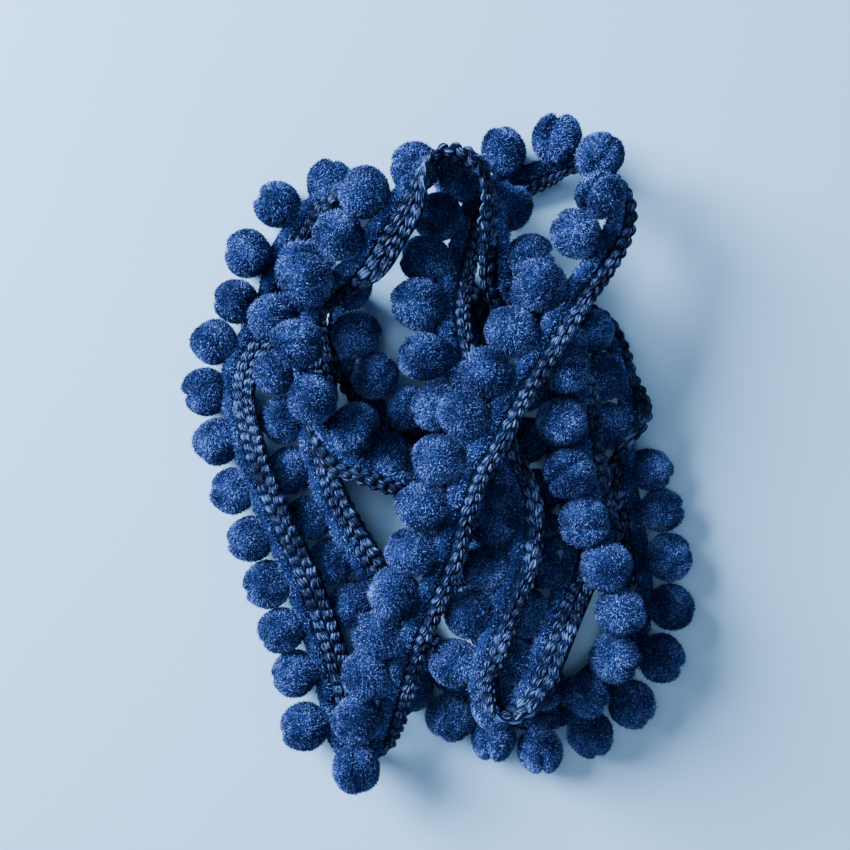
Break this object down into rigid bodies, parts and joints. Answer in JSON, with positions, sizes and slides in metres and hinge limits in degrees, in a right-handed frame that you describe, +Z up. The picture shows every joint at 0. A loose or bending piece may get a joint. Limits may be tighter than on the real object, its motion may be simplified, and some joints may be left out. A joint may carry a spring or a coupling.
{
  "type": "pompom trim",
  "caption": "Navy pompom trim lying in a loose back-and-forth bundle: a narrow knitted tape with a chenille edge and a row of small round pompoms.",
  "frame": {"origin": "centre of the bundle's bounding box, on the surface that it lies on", "axes": "+X towards the right edge of the picture, +Y towards its top edge, along the bundle, +Z up"},
  "size_m": [0.1188, 0.1532, 0.0388],
  "materials": {
    "tape_yarn": "knitted yarn",
    "pompom_pile": "cut pile"
  },
  "bodies": {
    "root": {"tape": "tape_yarn", "pompoms_left_side": "pompom_pile", "pompoms_left_tip": "pompom_pile", "pompoms_long_top_low": "pompom_pile", "pompoms_long_top_high": "pompom_pile", "pompoms_right_bend": "pompom_pile", "pompoms_right_turn": "pompom_pile", "pompoms_middle_top": "pompom_pile", "pompoms_middle_low": "pompom_pile", "pompoms_fold_up": "pompom_pile", "pompoms_under_right": "pompom_pile", "pompoms_right_inner": "pompom_pile", "pompoms_under_middle": "pompom_pile", "pompoms_inner_low": "pompom_pile", "pompoms_inner_left": "pompom_pile", "pompoms_hoop": "pompom_pile", "pompoms_right_top": "pompom_pile", "pompoms_right_side": "pompom_pile", "pompoms_bottom": "pompom_pile", "pompoms_left_inner": "pompom_pile", "pompoms_inner_top": "pompom_pile", "pompoms_under_top": "pompom_pile"}
  },
  "joints": []
}
